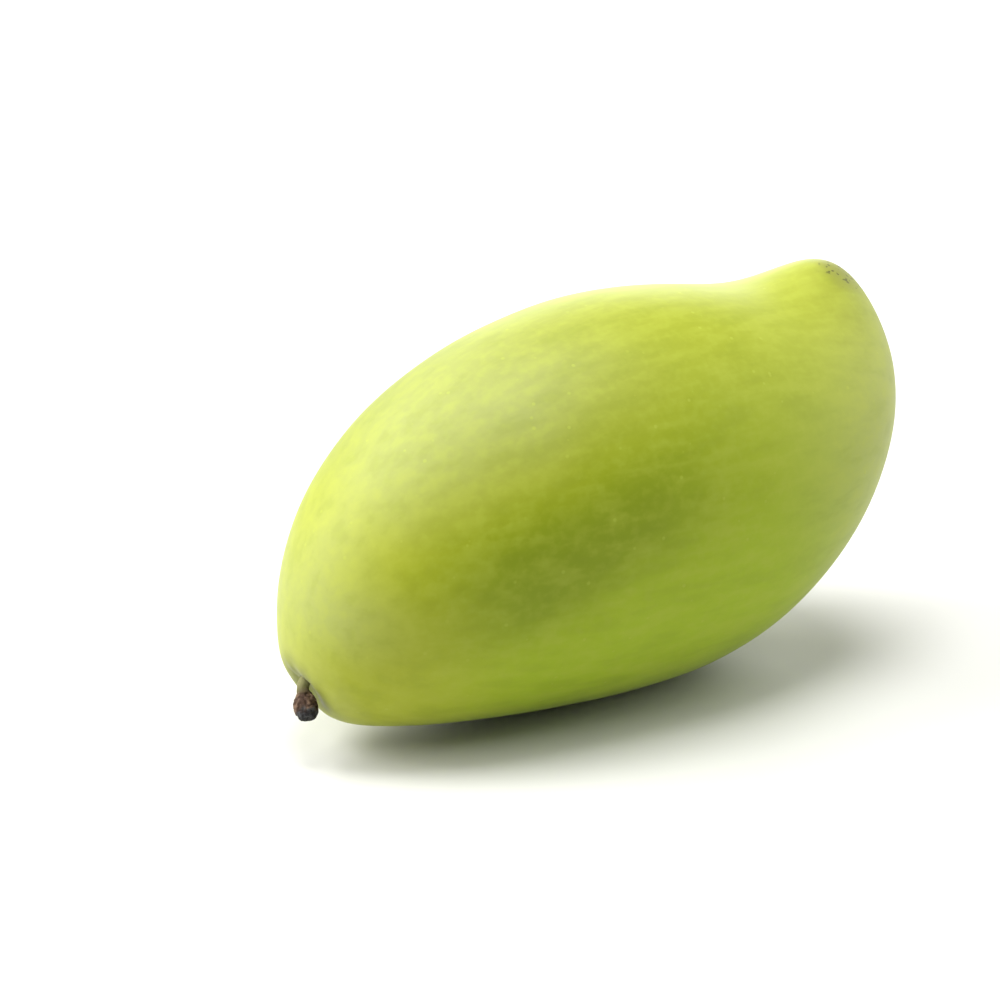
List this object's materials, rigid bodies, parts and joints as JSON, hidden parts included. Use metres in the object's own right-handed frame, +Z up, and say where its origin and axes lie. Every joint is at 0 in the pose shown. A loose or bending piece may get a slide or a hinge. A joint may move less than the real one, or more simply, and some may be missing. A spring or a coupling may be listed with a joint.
{
  "type": "mango",
  "caption": "Whole long green mango with a soft beak near its blunt far end and the dried stub of its stalk in a shallow pit, lying on a small flat spot",
  "frame": {"origin": "centre of the bounding box on the surface that the fruit rests on", "axes": "+X runs from the stalk end to the far end, +Z is up through the belly side and its beak, and +Y is one cheek"},
  "size_m": [0.1267, 0.0646, 0.0722],
  "materials": {
    "skin": "satin waxy green skin with faint paler dots",
    "stalk": "dry rough brown stalk with a dark broken end"
  },
  "bodies": {
    "root": {"fruit": "skin", "stem": "stalk"}
  },
  "joints": []
}
